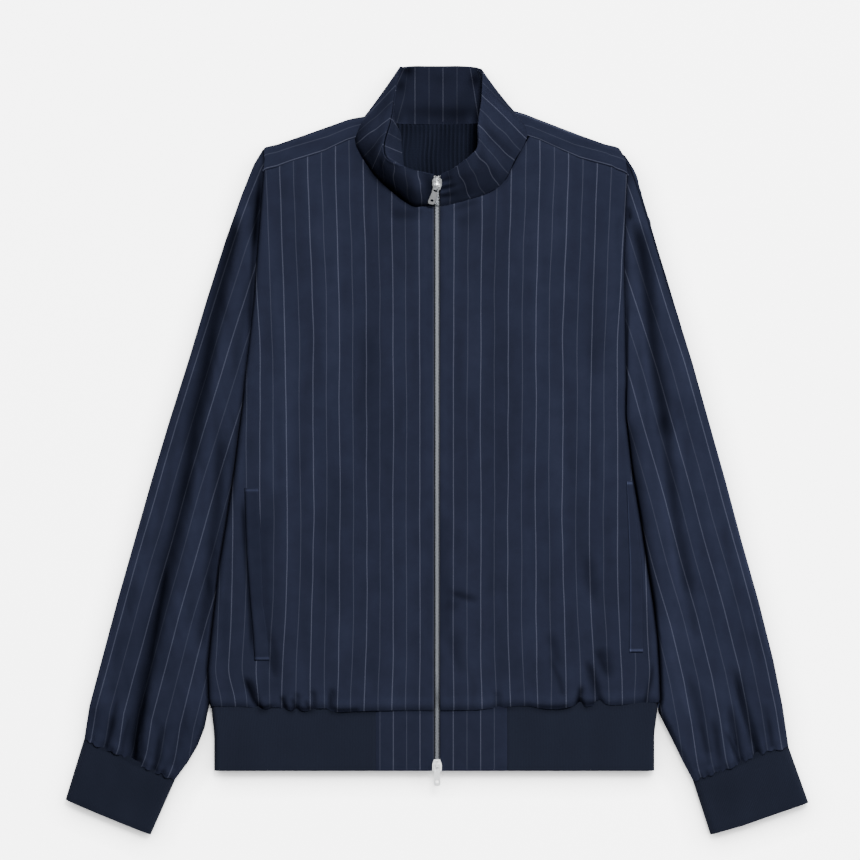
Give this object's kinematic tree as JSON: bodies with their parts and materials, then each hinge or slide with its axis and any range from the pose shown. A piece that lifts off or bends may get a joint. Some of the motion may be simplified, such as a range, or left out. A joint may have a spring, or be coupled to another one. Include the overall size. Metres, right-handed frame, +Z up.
{
  "type": "track jacket",
  "caption": "Zip-front track jacket with a stand collar, ribbed hem and cuffs, laid flat on its back with the zip closed.",
  "frame": {"origin": "middle of the jacket's outline on the surface it lies on", "axes": "+Y up the garment towards the collar, +Z up from the surface, +X across towards the wearer's left sleeve"},
  "size_m": [0.742, 0.768, 0.0416],
  "materials": {
    "shell": "smooth woven pinstripe, soft sheen",
    "rib": "knitted rib, matt",
    "lining": "fine pleated lining, dull",
    "tape": "woven zip tape, matt",
    "metal": "polished zip metal"
  },
  "bodies": {
    "root": {"front_right": "shell", "sleeve_right": "shell", "yoke_right": "shell", "hem_panel_right": "shell", "pocket_welt_right": "shell", "cuff_right": "rib", "zip_tape_right": "tape", "front_left": "shell", "sleeve_left": "shell", "yoke_left": "shell", "hem_panel_left": "shell", "pocket_welt_left": "shell", "cuff_left": "rib", "zip_tape_left": "tape", "back": "shell", "collar": "shell", "collar_facing": "shell", "hem_rib": "rib", "back_lining": "lining", "zip_chain": "metal", "zip_slider_top": "metal", "zip_slider_bottom": "metal"},
    "pull_top": {"zip_pull_top": "metal"},
    "pull_bottom": {"zip_pull_bottom": "metal"}
  },
  "joints": [
    {"name": "pull_top_turn", "type": "hinge", "parent": "root", "child": "pull_top", "pos_m": [0, 0.26219, 0.03002], "axis": [-0.9563, 0.2458, 0.1584], "range_deg": [0, 170]},
    {"name": "pull_bottom_turn", "type": "hinge", "parent": "root", "child": "pull_bottom", "pos_m": [0, -0.3133, 0.01485], "axis": [-1, 0, 0], "range_deg": [0, 170]}
  ]
}
